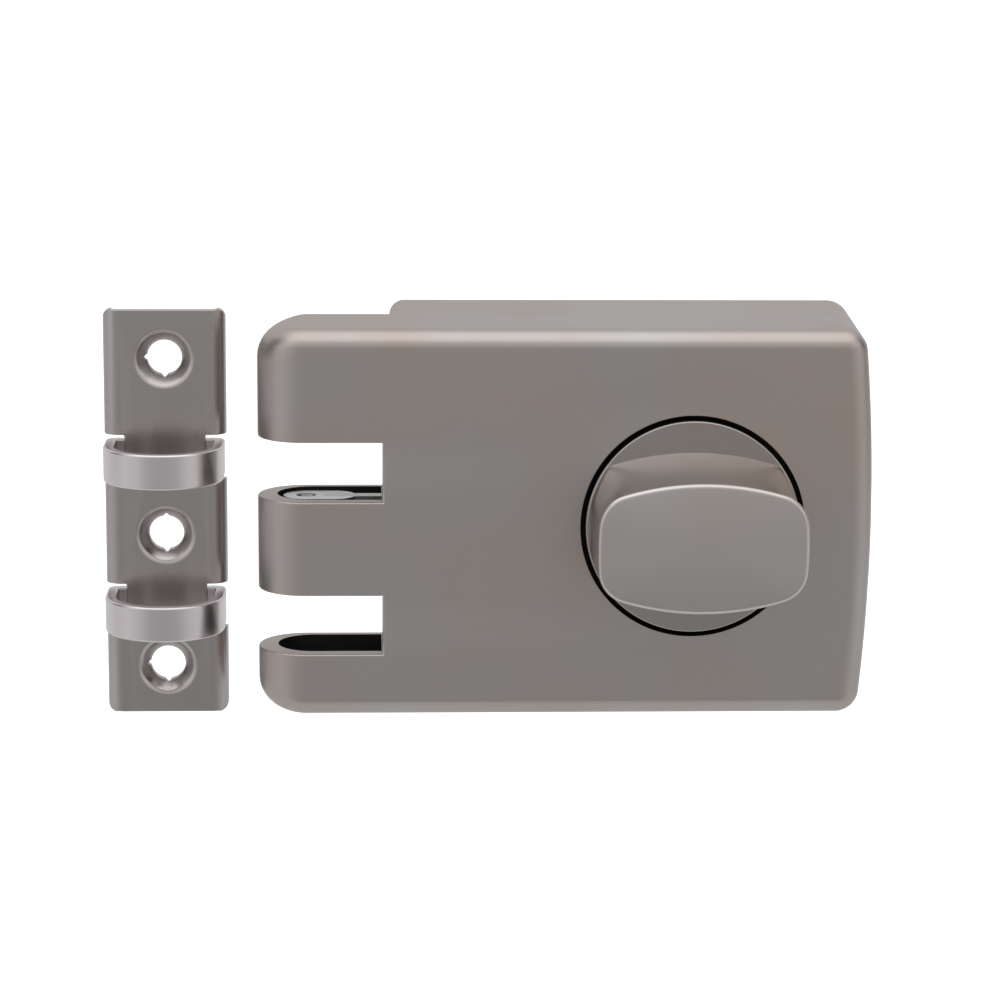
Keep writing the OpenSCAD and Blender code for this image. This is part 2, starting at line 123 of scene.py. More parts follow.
# ------------------------------------------------------------- mesh helpers

def new_object(name, bm):
    """Object from a bmesh drawn in millimetres; the bmesh is used up."""
    bmesh.ops.remove_doubles(bm, verts=bm.verts, dist=1e-4)
    bmesh.ops.recalc_face_normals(bm, faces=bm.faces)
    mesh = bpy.data.meshes.new(name)
    bm.to_mesh(mesh)
    bm.free()
    obj = bpy.data.objects.new(name, mesh)
    bpy.context.scene.collection.objects.link(obj)
    return obj


def loft(rings):
    """Closed skin over rings of equal length, each a list of points."""
    bm = bmesh.new()
    rows = [[bm.verts.new(p) for p in ring] for ring in rings]
    count = len(rows[0])
    for low, high in zip(rows, rows[1:]):
        for i in range(count):
            j = (i + 1) % count
            bm.faces.new((low[i], low[j], high[j], high[i]))
    bm.faces.new(list(reversed(rows[0])))
    bm.faces.new(rows[-1])
    return bm


def box(name, low, high):
    """Plain cutter box between two corners."""
    corners = [(low[0], low[1]), (high[0], low[1]), (high[0], high[1]), (low[0], high[1])]
    rings = [[(x, y, z) for x, y in corners] for z in (low[2], high[2])]
    return new_object(name, loft(rings))


def turned(name, profile, x=0.0, z=0.0, steps=96):
    """Solid of revolution about a line along Y; the profile is (radius, y) pairs."""
    rings = []
    for radius, y in profile:
        angles = [2 * math.pi * i / steps for i in range(steps)]
        rings.append([(x + radius * math.cos(a), y, z + radius * math.sin(a)) for a in angles])
    return new_object(name, loft(rings))


def across(name, profile, y, z, steps=48):
    """Solid of revolution about a line along X; the profile is (radius, x) pairs."""
    rings = []
    for radius, x in profile:
        angles = [2 * math.pi * i / steps for i in range(steps)]
        rings.append([(x, y + radius * math.cos(a), z + radius * math.sin(a)) for a in angles])
    return new_object(name, loft(rings))


def apply_modifiers(obj):
    """Replaces the object's mesh with its evaluated one."""
    graph = bpy.context.evaluated_depsgraph_get()
    mesh = bpy.data.meshes.new_from_object(obj.evaluated_get(graph))
    old = obj.data
    obj.modifiers.clear()
    obj.data = mesh
    mesh.name = obj.name
    bpy.data.meshes.remove(old)


def combine(obj, tools, operation="DIFFERENCE"):
    """Exact boolean of the object with each tool; the tools are removed."""
    for tool in tools:
        step = obj.modifiers.new("cut", "BOOLEAN")
        step.operation = operation
        step.solver = "EXACT"
        step.object = tool
    apply_modifiers(obj)
    for tool in tools:
        mesh = tool.data
        bpy.data.objects.remove(tool)
        bpy.data.meshes.remove(mesh)


def soften(obj, width, is_edge):
    """Rounds the edges sharper than 38 degrees for which is_edge(first, second) holds."""
    bm = bmesh.new()
    bm.from_mesh(obj.data)
    bmesh.ops.dissolve_degenerate(bm, dist=1e-3, edges=bm.edges)
    bmesh.ops.remove_doubles(bm, verts=bm.verts, dist=2e-3)
    limit = math.radians(38)
    chosen = [
        edge for edge in bm.edges
        if len(edge.link_faces) == 2 and edge.calc_face_angle(0) > limit
        and is_edge(edge.verts[0].co, edge.verts[1].co)
    ]
    bmesh.ops.bevel(
        bm, geom=chosen, offset=width, offset_type="OFFSET", segments=3, profile=0.5,
        affect="EDGES", clamp_overlap=False, miter_outer="ARC",
    )
    bmesh.ops.recalc_face_normals(bm, faces=bm.faces)
    bm.to_mesh(obj.data)
    bm.free()


def smooth_neighbours(corner):
    """Corners at the same vertex on the faces past this corner's smooth edges."""
    found = []
    for edge in (corner.edge, corner.link_loop_prev.edge):
        if not edge.smooth:
            continue
        for other in edge.link_loops:
            if other.face != corner.face:
                found.append(other if other.vert == corner.vert else other.link_loop_next)
    return found


def even_normals(mesh):
    """Normals that follow the largest faces at each vertex and break at sharp edges."""
    bm = bmesh.new()
    bm.from_mesh(mesh)
    corners = [corner for face in bm.faces for corner in face.loops]
    order = {corner: index for index, corner in enumerate(corners)}
    pull = {face: face.normal * face.calc_area() ** 2 for face in bm.faces}
    normals = [None] * len(corners)
    for corner in corners:
        if normals[order[corner]] is not None:
            continue
        fan = [corner]
        for member in fan:
            fan += [other for other in smooth_neighbours(member) if other not in fan]
        normal = sum((pull[member.face] for member in fan), Vector()).normalized()
        for member in fan:
            normals[order[member]] = normal
    bm.free()
    mesh.normals_split_custom_set(normals)


def finish_piece(obj, material, body, replaced, angle=32):
    """Shades a piece smooth, scales it to metres, gives it its material, parents it to its body's empty
    and hides the CAD nodes it replaces.
    """
    obj.data.polygons.foreach_set("use_smooth", [True] * len(obj.data.polygons))
    obj.data.set_sharp_from_angle(angle=math.radians(angle))
    even_normals(obj.data)
    obj.data.transform(Matrix.Scale(MM, 4))
    obj.data.materials.clear()
    obj.data.materials.append(material)
    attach(obj, body)
    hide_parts(*replaced)


def shade_faces(obj, material, inside):
    """Gives one more material to the faces whose middles, in millimetres, lie inside."""
    obj.data.materials.append(material)
    for face in obj.data.polygons:
        if inside(face.center / MM):
            face.material_index = len(obj.data.materials) - 1


def ellipse(cx, cy, rx, ry, start, end, steps):
    """Points of an elliptical arc, angles in degrees."""
    angles = [math.radians(start + (end - start) * i / steps) for i in range(steps + 1)]
    return [(cx + rx * math.cos(a), cy + ry * math.sin(a)) for a in angles]


# ---------------------------------------------------------------- materials

class Nodes:
    """Short way to add nodes to a tree and join them."""

    def __init__(self, tree):
        self.tree = tree

    def add(self, kind, inputs=None, **settings):
        node = self.tree.nodes.new(kind)
        for key, value in settings.items():
            setattr(node, key, value)
        for key, value in (inputs or {}).items():
            if isinstance(value, bpy.types.NodeSocket):
                self.tree.links.new(value, node.inputs[key])
            else:
                node.inputs[key].default_value = value
        return node


def linear(colour):
    """Scene-linear colour from display values between 0 and 1."""
    def channel(c):
        return c / 12.92 if c <= 0.04045 else ((c + 0.055) / 1.055) ** 2.4
    return tuple(channel(c) for c in colour) + (1.0,)


def metal(name, colour, roughness, tint=None, tint_size=28.0, grain=0.02, grain_size=1300.0,
          brushed=None, edge=0.0, metallic=1.0):
    """Procedural metal: clouded tint and roughness, fine grain in the bump, lighter sharp edges that are
    partly painted highlight, partly wear.
    """
    material = bpy.data.materials.new(name)
    material.use_nodes = True
    tree = material.node_tree
    tree.nodes.clear()
    n = Nodes(tree)
    place = n.add("ShaderNodeTexCoord").outputs["Object"]
    cloud = n.add("ShaderNodeTexNoise", {"Vector": place, "Scale": tint_size, "Detail": 3.0,
                                         "Roughness": 0.45})
    second = tint or tuple(c * 0.93 for c in colour)
    colours = n.add("ShaderNodeValToRGB", {"Fac": cloud.outputs["Fac"]})
    colours.color_ramp.elements[0].position = 0.32
    colours.color_ramp.elements[0].color = linear(colour)
    colours.color_ramp.elements[1].position = 0.68
    colours.color_ramp.elements[1].color = linear(second)
    colours.color_ramp.interpolation = "EASE"
    base = colours.outputs["Color"]
    # Painted highlight on sharp edges, partly standing for worn plating: lighter colour where pointiness
    # is high
    if edge:
        pointed = n.add("ShaderNodeNewGeometry").outputs["Pointiness"]
        sharp = n.add("ShaderNodeMapRange", {"Value": pointed, "From Min": 0.52, "From Max": 0.62,
                                             "To Min": 0.0, "To Max": edge})
        edge_sheen_colour = linear(tuple(min(1.0, c * 1.25) for c in colour))
        # A Mix node's inputs 6 and 7 are its two colours, and output 2 is the mixed colour
        edge_wear_and_sheen = n.add("ShaderNodeMix", {"Factor": sharp.outputs["Result"], 6: base, 7: edge_sheen_colour},
                     data_type="RGBA")
        base = edge_wear_and_sheen.outputs[2]
    stretch = place
    if brushed:
        stretch = n.add("ShaderNodeMapping", {"Vector": place, "Scale": brushed}).outputs["Vector"]
    fine = n.add("ShaderNodeTexNoise", {"Vector": stretch, "Scale": grain_size, "Detail": 2.0,
                                        "Roughness": 0.6})
    rough = n.add("ShaderNodeMapRange", {"Value": cloud.outputs["Fac"], "From Min": 0.3,
                                         "From Max": 0.7, "To Min": roughness - 0.03,
                                         "To Max": roughness + 0.03},
                  interpolation_type="SMOOTHSTEP")
    bump = n.add("ShaderNodeBump", {"Height": fine.outputs["Fac"], "Strength": grain,
                                    "Distance": 0.0001})
    shader = n.add("ShaderNodeBsdfPrincipled", {"Base Color": base, "Metallic": metallic,
                                                "Roughness": rough.outputs["Result"],
                                                "Normal": bump.outputs["Normal"]})
    n.add("ShaderNodeOutputMaterial", {"Surface": shader.outputs["BSDF"]})
    return material


NICKEL = metal("satin_nickel", (0.695, 0.68, 0.675), 0.39, tint=(0.70, 0.655, 0.625), edge=0.08,
               grain=0.03)
TURN_NICKEL = metal("satin_nickel_turn", (0.78, 0.76, 0.75), 0.30, tint=(0.76, 0.73, 0.71),
                    grain=0.02)
# Painted shade: a darker copy of the turn's nickel for the foot round the grip
FOOT_NICKEL_PAINTED_DARKER = metal("foot_nickel_painted_shade", (0.66, 0.64, 0.625), 0.28, tint=(0.65, 0.62, 0.60),
                    grain=0.02)
STRIKE_NICKEL = metal("strike_nickel", (0.70, 0.68, 0.68), 0.26, tint=(0.69, 0.665, 0.65), edge=0.1,
                      grain=0.04)
LOOP_NICKEL = metal("loop_nickel", (0.85, 0.83, 0.84), 0.27, tint=(0.83, 0.80, 0.80), grain=0.04)
ZINC = metal("zinc_steel", (0.78, 0.78, 0.76), 0.38, tint=(0.74, 0.76, 0.75), grain=0.08)
BRIGHT = metal("bright_steel", (0.82, 0.82, 0.83), 0.22, brushed=(1.0, 1.0, 0.05), grain=0.12,
               grain_size=4000.0)
HARD = metal("hard_steel", (0.42, 0.42, 0.44), 0.3, grain=0.05)
SPRING = metal("spring_steel", (0.5, 0.52, 0.56), 0.25, grain=0.05)
BRONZE = metal("bronze", (0.76, 0.6, 0.38), 0.42, tint=(0.7, 0.54, 0.34), grain=0.15)
BRASS = metal("brass", (0.85, 0.74, 0.46), 0.28, tint=(0.82, 0.7, 0.42), grain=0.06)
# Painted shade: a near-black finish put on recess and gap faces where shade falls
PAINTED_SHADE_BLACK = metal("painted_shade_black", (0.13, 0.125, 0.12), 0.6, grain=0.05, metallic=0.4)
ACETAL = metal("black_acetal", (0.09, 0.09, 0.095), 0.45, grain=0.05, metallic=0.0)


# --------------------------------------------------------------------- case

def end_inset(z, radius):
    """How far a rounded edge draws in the outline at height z; it stops short of a full quarter."""
    most = 0.96
    reach = max(z - (TOP_Z - radius), (BOTTOM_Z + radius) - z, 0.0)
    inset = radius - math.sqrt(max(radius * radius - reach * reach, 0.0))
    return min(inset, most * radius)


def case_levels():
    """Heights of the case's sections, close together where edges are round, none by a slot's edge."""
    levels = {TOP_Z, BOTTOM_Z}
    for radius in (STEP_EDGE_R, EDGE_R, END_EDGE_R, TIP_EDGE_R):
        for i in range(EDGE_STEPS):
            drop = radius * (1 - math.sin(math.radians(90 * i / EDGE_STEPS)))
            levels.add(TOP_Z - drop)
            levels.add(BOTTOM_Z + drop)
    for i in range(1, CASE_ROWS):
        z = BOTTOM_Z + TIP_EDGE_R + 2 * (HALF_Z - TIP_EDGE_R) * i / CASE_ROWS
        if min(abs(abs(z - slot) - SLOT_HEIGHT / 2) for slot in SLOTS) > ROW_CLEARANCE:
            levels.add(z)
    kept = []
    for z in sorted(levels):
        if not kept or z - kept[-1] > LEAST_ROW_GAP:
            kept.append(z)
    kept[-1] = TOP_Z
    return kept


def drafted(x, y, z):
    """Leans the walls outward towards the back."""
    depth = y - FRONT_Y
    lean = DRAFT * depth
    side = max(x, 0.0) / RIGHT_X
    return (x + lean * side, y, z + lean * (z - MID_Z) / HALF_Z)


def case_section(z):
    """Outline of the case at height z: round finger tip, front, arched end, back."""
    front = FRONT_Y + end_inset(z, EDGE_R)
    tip = LEFT_X + end_inset(z, TIP_EDGE_R)
    tip_centre = LEFT_X + FINGER_R
    mid_y = FRONT_Y + FINGER_R
    arch = END_ARC_R - math.sqrt(END_ARC_R ** 2 - (z - MID_Z) ** 2)
    end = RIGHT_X - arch - end_inset(z, END_EDGE_R)
    corner_x = RIGHT_X - arch - END_EDGE_R
    corner_y = FRONT_Y + EDGE_R
    step = STEP_X + end_inset(z, STEP_EDGE_R)
    points = [(end, 0.0)]
    points += ellipse(corner_x, corner_y, end - corner_x, corner_y - front, 0, -90, 10)
    points += ellipse(tip_centre, mid_y, tip_centre - tip, mid_y - front, -90, -180, 16)
    points += ellipse(tip_centre, mid_y, tip_centre - tip, FINGER_BACK_Y - mid_y, 180, 90, 16)[1:]
    points += [(step, FINGER_BACK_Y), (step, 0.0)]
    return points


def stadium(name, x0, x1, y0, y1, z0, z1):
    """Prism with a round left end, seen from above."""
    radius = (y1 - y0) / 2
    outline = ellipse(x0 + radius, y0 + radius, radius, radius, 90, 270, 20)
    outline += [(x1, y0), (x1, y1)]
    return new_object(name, loft([[(x, y, z) for x, y in outline] for z in (z0, z1)]))


def case_hollow():
    """The space inside the main body, less the cup and the cover's posts."""
    x0, x1 = STEP_X + SIDE_WALL, RIGHT_X - SIDE_WALL
    z0, z1 = BOTTOM_Z + SIDE_WALL, TOP_Z - SIDE_WALL
    rings = []
    r = HOLLOW_CORNER_R
    for y in (FRONT_Y + FRONT_WALL, HOLLOW_BACK_Y):
        outline = []
        for cx, cz, start in ((x1, z1, 0), (x0, z1, 90), (x0, z0, 180), (x1, z0, 270)):
            sx = -1 if cx == x1 else 1
            sz = -1 if cz == z1 else 1
            outline += ellipse(cx + sx * r, cz + sz * r, r, r, start, start + 90, 6)
        rings.append([drafted(x - HOLLOW_DRAW_IN * (x > 0), y, z) for x, z in outline])
    hollow = new_object("hollow", loft(rings))
    keep = [turned("cup", [(HOLE_R + CUP_WALL, FRONT_Y), (HOLE_R + CUP_WALL, FLOOR_Y)])]
    for x, z in COVER_POSTS:
        keep.append(turned("post", [(POST_R, FRONT_Y), (POST_R, POST_END_Y)], x, z, steps=32))
    combine(hollow, keep)
    return hollow


def build_case():
    """Cast shell: fingers with cavities, slots, the cup for the turn, and a hollow body."""
    rings = []
    for z in case_levels():
        rings.append([drafted(x, y, z) for x, y in case_section(z)])
    case = new_object("case_shell", loft(rings))
    cavity_y0 = FRONT_Y + FRONT_WALL
    cavity_y1 = cavity_y0 + CAVITY_WIDTH
    half = SLOT_HEIGHT / 2
    # Lowest and highest point of the cavity in each finger, from the top finger down
    cavities = [(SLOTS[0] + half, TOP_Z - SIDE_WALL), (SLOTS[1] + half, SLOTS[0] - half),
                (BOTTOM_Z + SIDE_WALL, SLOTS[1] - half)]
    cutters = [case_hollow()]
    for index, (z0, z1) in enumerate(cavities):
        low = z0 - (1 if index < 2 else 0)
        high = z1 + (1 if index > 0 else 0)
        cutters.append(stadium("finger", LEFT_X + TIP_WALL, -BACKSET - 0.2, cavity_y0, cavity_y1,
                               low, high))
        cutters.append(box("tunnel", (-BACKSET - 2, cavity_y0 + 0.01, z0 + 0.2 * (index < 2)),
                           (STEP_X + SIDE_WALL + 1, cavity_y1 - 0.01, z1 - 0.4 * (index > 0))))
    for z in SLOTS:
        cutters.append(box("slot", (LEFT_X - 5, FRONT_Y - 5, z - half), (-BACKSET, 5, z + half)))
    cutters.append(turned("hole", [(HOLE_R, FRONT_Y - 4), (HOLE_R, RECESS_Y)], steps=160))
    bore = [(SPINDLE_BORE_R, FRONT_Y), (SPINDLE_BORE_R, FLOOR_Y + 2)]
    cutters.append(turned("bore", bore, steps=48))
    screw_hole = [(4.9, STEP_X - 0.9), (4.6, STEP_X - 0.6), (CASE_SCREW_R, STEP_X + 1.8),
                  (CASE_SCREW_R, STEP_X + 4)]
    for z in CASE_SCREW_HEIGHTS:
        cutters.append(across("screw_hole", screw_hole, CASE_SCREW_Y, z))
    combine(case, cutters)

    def hole_edge(a, b):
        radii = (math.hypot(a.x, a.z), math.hypot(b.x, b.z))
        return abs(a.y - FRONT_Y) < 0.02 and max(abs(radius - HOLE_R) for radius in radii) < 0.1

    middle_y = (cavity_y0 + cavity_y1) / 2
    opening_half = CAVITY_WIDTH / 2 + OPENING_MARGIN

    def finger_edge(a, b):
        if a.x > OPENINGS_X and max(abs(a.y - middle_y), abs(b.y - middle_y)) < opening_half:
            return False
        on_slot = any(
            abs(abs(a.z - z) - half) < 0.02 and abs(abs(b.z - z) - half) < 0.02
            and max(a.x, b.x) < -BACKSET + 0.1 and min(a.x, b.x) < -BACKSET - 0.1
            for z in SLOTS
        )
        upright = abs(a.y - b.y) < 0.02
        on_end = abs(a.x + BACKSET) < 0.02 and abs(b.x + BACKSET) < 0.02 and upright
        inside = BOTTOM_Z + 0.5 < min(a.z, b.z) and max(a.z, b.z) < TOP_Z - 0.5
        on_back = inside and max(abs(a.y - FINGER_BACK_Y), abs(b.y - FINGER_BACK_Y)) < 0.02
        return on_slot or on_end or on_back

    soften(case, HOLE_BEVEL, hole_edge)
    soften(case, FINGER_BEVEL, finger_edge)
    finish_piece(case, NICKEL, "lock_case", ["case"])

    # Painted shade: the cup's wall and the cavities inside the fingers take the near-black finish
    def painted_shade_zone(p):
        in_cup = math.hypot(p.x, p.z) < HOLE_R + 0.05 and FRONT_Y + 0.3 < p.y < FLOOR_Y
        deep = LEFT_X + TIP_WALL - 0.1 < p.x < STEP_X and cavity_y0 - 0.01 < p.y < cavity_y1 + 0.01
        in_finger = deep and any(z0 + 0.1 < p.z < z1 - 0.1 for z0, z1 in cavities)
        return in_cup or in_finger

    shade_faces(case, PAINTED_SHADE_BLACK, painted_shade_zone)


# --------------------------------------------------------------- thumb turn

TURN_FOOT_Y = TURN_HIGH.y
TURN_FRONT_Y = TURN_LOW.y
DISC_PROUD = 0.7
DISC_Y = FRONT_Y - DISC_PROUD
DISC_R = TURN_HIGH.x
DISC_CHAMFER = 0.35
GRIP_RISE = DISC_Y - TURN_FRONT_Y
GRIP_HALF_X = 20.05
GRIP_HALF_Z = 12.6
GRIP_SIDE_R = 53.0
GRIP_END_R = 75.0
GRIP_CORNER_R = 6.5
# Hollow flanks: half widths at the waist, its height over the foot, and how fast they widen from it
WAIST_HALF_X, WAIST_X_HEIGHT, WAIST_X_GAIN = 19.65, 12, 0.0045
WAIST_HALF_Z, WAIST_Z_HEIGHT, WAIST_Z_GAIN = 11.72, 14, 0.0157
# The corners are tighter by this much at the foot, less and less over this height
CORNER_LOSS = 2.5
CORNER_FADE = 2.5
RIM_R = 0.8
CROWN = 0.35
# Rings of the crowned face, as shares of its outline
FACE_SHARES = (0.97, 0.9, 0.78, 0.6, 0.4, 0.18)
FLANK_STEPS = 26
TURN_BORE_R = 5.0
TURN_BORE_END_Y = FRONT_Y - 8
TURN_STEPS = 168


def ray_to_circle(angle, cx, cz, radius):
    """Distance from the axis to the far side of a circle, in one direction."""
    along = cx * math.cos(angle) + cz * math.sin(angle)
    return along + math.sqrt(along * along - cx * cx - cz * cz + radius * radius)


def grip_corner(half_x, half_z, side_r, end_r, corner_r):
    """Middle of the corner circle that touches a long side and an end from inside."""
    low, high = half_x / 2, half_x
    for _ in range(40):
        x = (low + high) / 2
        z = half_z - side_r + math.sqrt((side_r - corner_r) ** 2 - x * x)
        if math.hypot(x + end_r - half_x, z) > end_r - corner_r:
            high = x
        else:
            low = x
    return low, z


def grip_ring(y, half_x, half_z, corner_r, limit=60.0):
    """Bowed sides and ends joined by round corners, as one ring of points within the limit."""
    side_r, end_r = GRIP_SIDE_R, GRIP_END_R
    cx, cz = grip_corner(half_x, half_z, side_r, end_r, corner_r)
    lean = math.atan2(cz, cx + end_r - half_x)
    end_turn = math.atan2(cz + corner_r * math.sin(lean), cx + corner_r * math.cos(lean))
    lean = math.atan2(cz + side_r - half_z, cx)
    side_turn = math.atan2(cz + corner_r * math.sin(lean), cx + corner_r * math.cos(lean))
    ring = []
    for i in range(TURN_STEPS):
        angle = 2 * math.pi * i / TURN_STEPS
        folded = math.atan2(abs(math.sin(angle)), abs(math.cos(angle)))
        if folded < end_turn:
            radius = ray_to_circle(folded, half_x - end_r, 0.0, end_r)
        elif folded < side_turn:
            radius = ray_to_circle(folded, cx, cz, corner_r)
        else:
            radius = ray_to_circle(folded, 0.0, half_z - side_r, side_r)
        radius = min(radius, limit)
        ring.append((radius * math.cos(angle), y, radius * math.sin(angle)))
    return ring


def circle_ring(y, radius):
    angles = [2 * math.pi * i / TURN_STEPS for i in range(TURN_STEPS)]
    return [(radius * math.cos(a), y, radius * math.sin(a)) for a in angles]


def build_turn():
    """One loft: foot, chamfer, flat of the foot, hollow flanks, rounded rim, crowned face."""
    chamfer = DISC_CHAMFER
    rings = [circle_ring(TURN_FOOT_Y, DISC_R - 0.5), circle_ring(TURN_FOOT_Y - 0.5, DISC_R),
             circle_ring(DISC_Y + chamfer, DISC_R)]
    for i in (1, 2, 3):
        angle = math.radians(30 * i)
        y = DISC_Y + chamfer * (1 - math.sin(angle))
        rings.append(circle_ring(y, DISC_R - chamfer * (1 - math.cos(angle))))
    flank_limit = DISC_R - chamfer - 0.03
    for i in range(FLANK_STEPS + 1):
        height = GRIP_RISE * (1 - math.cos(math.pi * i / FLANK_STEPS)) / 2
        if height > GRIP_RISE - CROWN - RIM_R:
            break
        half_z = WAIST_HALF_Z + WAIST_Z_GAIN * (height - WAIST_Z_HEIGHT) ** 2
        half_x = WAIST_HALF_X + WAIST_X_GAIN * (height - WAIST_X_HEIGHT) ** 2
        corner_r = GRIP_CORNER_R - CORNER_LOSS * math.exp(-height / CORNER_FADE)
        rings.append(grip_ring(DISC_Y - height, half_x, half_z, corner_r, limit=flank_limit))
    face_y = TURN_FRONT_Y + CROWN
    for i in range(7):
        angle = math.radians(90 * i / 6)
        inset = RIM_R * (1 - math.cos(angle))
        y = face_y + RIM_R * (1 - math.sin(angle))
        rings.append(grip_ring(y, GRIP_HALF_X - inset, GRIP_HALF_Z - inset, GRIP_CORNER_R - inset))
    edge_ring = rings[-1]
    for share in FACE_SHARES:
        y = face_y - CROWN * (1 - share * share)
        rings.append([(x * share, y, z * share) for x, _, z in edge_ring])
    turn = new_object("thumb_turn_body", loft(rings))
    bore = [(TURN_BORE_R, TURN_FOOT_Y + 1), (TURN_BORE_R, TURN_BORE_END_Y)]
    combine(turn, [turned("bore", bore, steps=48)])
    finish_piece(turn, TURN_NICKEL, "turn", ["thumb_turn"], angle=40)
    # Painted shade: the foot's face and edge take a darker copy of the turn's nickel, and its side in
    # the gap round it the near-black finish
    shade_faces(turn, FOOT_NICKEL_PAINTED_DARKER, lambda p: p.y > DISC_Y - 0.01)
    shade_faces(turn, PAINTED_SHADE_BLACK, lambda p: p.y > DISC_Y + 0.5)


# ------------------------------------------------------------------- strike

STRIKE_X = (PLATE_LOW.x + PLATE_HIGH.x) / 2
PLATE_HALF = (PLATE_HIGH.x - PLATE_LOW.x) / 2
PLATE_Y = PLATE_LOW.y
PLATE_BACK_Y = PLATE_HIGH.y
PLATE_SKIN = 1.6
ROLL_DEPTH = 2.7
ROLL_WIDTH = 3.5
TONGUE_HALF = 8.05
# Screw holes: height, and the quarter turns at which each has a small notch
HOLE_NOTCHES = {30.1: (2, 3), -5.5: (1, 3), -32.4: (2, 3)}
# A notch's root and tip, as distances from the hole's axis, and half its width
NOTCH_ROOT, NOTCH_TIP, NOTCH_HALF = 2.6, 4.15, 0.55
# Dimple round a screw hole: radius, and depth behind the plate's front
DIMPLE = ((6.4, -0.4), (6.2, -0.02), (5.85, 0.06), (5.45, 0.24), (5.1, 0.5), (4.6, 1.05),
          (4.15, 1.55), (3.85, 1.9), (3.6, 2.2), (3.45, 2.5))
PLATE_CORNER_R = 1.8
PLATE_BEVEL = 0.25
# How much taller the cuts in the plate's sides are than the loops in them
GAP_MARGIN = 2.0
# Thickness of a loop's strap, the radius of its edges, the bend at its foot, and the foot's end
STRAP = 2.1
STRAP_EDGE_R = 0.45
FOOT_BEND = 1.3
FOOT_END = 2.5


def plate_outline(y):
    """The plate's front view with its four round corners, as a ring at depth y."""
    r = PLATE_CORNER_R
    x0, x1 = PLATE_LOW.x + r, PLATE_HIGH.x - r
    z0, z1 = PLATE_LOW.z + r, PLATE_HIGH.z - r
    ring = []
    for cx, cz, start in ((x1, z1, 0), (x0, z1, 90), (x0, z0, 180), (x1, z0, 270)):
        ring += ellipse(cx, cz, r, r, start, start + 90, 6)
    return [(x, y, z) for x, z in ring]


def notch_outline(turn):
    """Front view of a pointed notch, turned by an angle about the hole's axis."""
    neck = NOTCH_TIP - NOTCH_HALF
    corners = [(NOTCH_ROOT, -NOTCH_HALF), (neck, -NOTCH_HALF), (NOTCH_TIP, 0), (neck, NOTCH_HALF),
               (NOTCH_ROOT, NOTCH_HALF)]
    ring = []
    for u, v in corners:
        x = STRIKE_X + u * math.cos(turn) - v * math.sin(turn)
        ring.append((x, u * math.sin(turn) + v * math.cos(turn)))
    return ring


def build_strike_plate():
    """Pressed plate with turned-back long edges, notches and dimpled screw holes."""
    outer_half, inner_half = PLATE_HALF, PLATE_HALF - PLATE_SKIN
    inner_width, inner_depth = ROLL_WIDTH - PLATE_SKIN, ROLL_DEPTH - PLATE_SKIN
    bend_x, bend_y = outer_half - ROLL_WIDTH, PLATE_Y + ROLL_DEPTH
    outline = [(-outer_half, PLATE_BACK_Y)]
    outline += ellipse(-bend_x, bend_y, ROLL_WIDTH, ROLL_DEPTH, 180, 270, 14)
    outline += ellipse(bend_x, bend_y, ROLL_WIDTH, ROLL_DEPTH, -90, 0, 14)
    outline += [(outer_half, PLATE_BACK_Y), (inner_half, PLATE_BACK_Y)]
    outline += ellipse(bend_x, bend_y, inner_width, inner_depth, 0, -90, 6)
    outline += ellipse(-bend_x, bend_y, inner_width, inner_depth, -90, -180, 6)
    outline += [(-inner_half, PLATE_BACK_Y)]
    rings = [[(STRIKE_X + x, y, z) for x, y in outline] for z in (PLATE_LOW.z, PLATE_HIGH.z)]
    plate = new_object("strike_plate_body", loft(rings))
    boss = [(6.9, PLATE_Y + 0.8), (6.9, PLATE_Y + 1.7), (6.3, PLATE_BACK_Y - 0.4),
            (5.9, PLATE_BACK_Y)]
    bosses = [turned("boss", boss, STRIKE_X, z, 64) for z in HOLE_NOTCHES]
    combine(plate, bosses, "UNION")
    blank = new_object("blank", loft([plate_outline(y) for y in (PLATE_Y - 1, PLATE_BACK_Y + 1)]))
    combine(plate, [blank], "INTERSECT")
    cutters = []
    dimple = [(radius, PLATE_Y + depth) for radius, depth in DIMPLE]
    dimple.append((DIMPLE[-1][0], PLATE_BACK_Y + 1))
    for z, quarters in HOLE_NOTCHES.items():
        cutters.append(turned("dimple", dimple, STRIKE_X, z))
        for quarter in quarters:
            ring = notch_outline(quarter * math.pi / 2)
            cutters.append(new_object("notch", loft([[(a, y, z + b) for a, b in ring]
                                                    for y in (PLATE_Y + 1, PLATE_BACK_Y + 1)])))
    for low, high in LOOP_BOXES.values():
        z = (low.z + high.z) / 2
        reach = (high.z - low.z + GAP_MARGIN) / 2
        for side in (-1, 1):
            edge = STRIKE_X + side * TONGUE_HALF
            far = STRIKE_X + side * (PLATE_HALF + 2)
            cutters.append(box("gap", (min(edge, far), PLATE_Y - 2, z - reach),
                               (max(edge, far), 0, z + reach)))
    combine(plate, cutters)

    def off_tongue(point):
        return abs(abs(point.x - STRIKE_X) - TONGUE_HALF)

    def cut_edge(a, b):
        level = abs(a.z - b.z) < 0.02
        at_end = level and min(abs(a.z - PLATE_LOW.z), abs(a.z - PLATE_HIGH.z)) < 0.02
        at_gap = any(
            abs(abs(a.z - (low.z + high.z) / 2) - (high.z - low.z + GAP_MARGIN) / 2) < 0.02
            for low, high in LOOP_BOXES.values()
        ) and level
        tongue = max(off_tongue(a), off_tongue(b)) < 0.02
        return at_end or at_gap or tongue

    soften(plate, PLATE_BEVEL, cut_edge)
    finish_piece(plate, STRIKE_NICKEL, "strike", ["strike_plate"])


